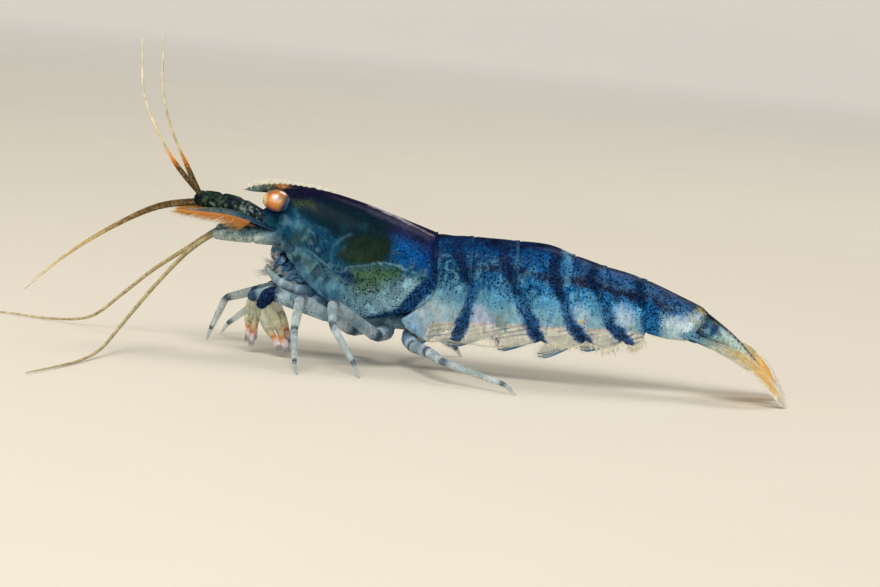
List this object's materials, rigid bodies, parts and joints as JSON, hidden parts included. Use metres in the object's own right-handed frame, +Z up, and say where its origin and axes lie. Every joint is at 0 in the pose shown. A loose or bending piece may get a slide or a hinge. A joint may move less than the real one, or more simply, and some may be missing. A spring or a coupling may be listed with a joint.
{
  "type": "freshwater shrimp figure",
  "caption": "Freshwater dwarf shrimp standing on its walking legs and tail fan, with long feelers, small tufted claws, jointed tail plates and swimmerets; a still model at life size.",
  "frame": {"origin": "middle of the footprint of the whole animal, feelers included, on the floor it stands on", "axes": "+X towards the tail, -X towards the head, -Y towards the animal's left side, +Z up"},
  "size_m": [0.0431, 0.0236, 0.0156],
  "materials": {
    "shell": "smooth, wet-looking shell, blue with dark bands and dots",
    "limb": "translucent blue-grey with darker joints",
    "claw": "translucent pale olive with dark edges",
    "feeler": "ringed yellow-brown",
    "eye": "glossy orange with a pale centre",
    "fin": "translucent, blue at the root to orange and white at the edge"
  },
  "bodies": {
    "root": {"antenna_base_left": "limb", "antenna_base_right": "limb", "antenna_left": "feeler", "antenna_right": "feeler", "antennal_scale_left": "shell", "antennal_scale_right": "shell", "antennule_inner_left": "feeler", "antennule_inner_right": "feeler", "antennule_left": "limb", "antennule_outer_left": "feeler", "antennule_outer_right": "feeler", "antennule_right": "limb", "carapace": "shell", "claw_1_left": "claw", "claw_1_right": "claw", "claw_2_left": "claw", "claw_2_right": "claw", "claw_leg_1_left": "limb", "claw_leg_1_right": "limb", "claw_leg_2_left": "limb", "claw_leg_2_right": "limb", "eye_left": "eye", "eye_right": "eye", "eyestalk_left": "shell", "eyestalk_right": "shell", "head": "shell", "maxilliped_left": "limb", "maxilliped_right": "limb", "mouthparts": "limb", "pleon_segment_1": "shell", "pleon_segment_2": "shell", "pleon_segment_3": "shell", "pleon_segment_4": "shell", "pleon_segment_5": "shell", "pleon_segment_6": "shell", "pleopod_1_left": "fin", "pleopod_1_right": "fin", "pleopod_2_left": "fin", "pleopod_2_right": "fin", "pleopod_3_left": "fin", "pleopod_3_right": "fin", "pleopod_4_left": "fin", "pleopod_4_right": "fin", "pleopod_5_left": "fin", "pleopod_5_right": "fin", "rostrum": "shell", "telson": "shell", "thorax_underside": "shell", "uropod_inner_left": "fin", "uropod_inner_right": "fin", "uropod_outer_left": "fin", "uropod_outer_right": "fin", "walking_leg_3_left": "limb", "walking_leg_3_right": "limb", "walking_leg_4_left": "limb", "walking_leg_4_right": "limb", "walking_leg_5_left": "limb", "walking_leg_5_right": "limb"}
  },
  "joints": []
}
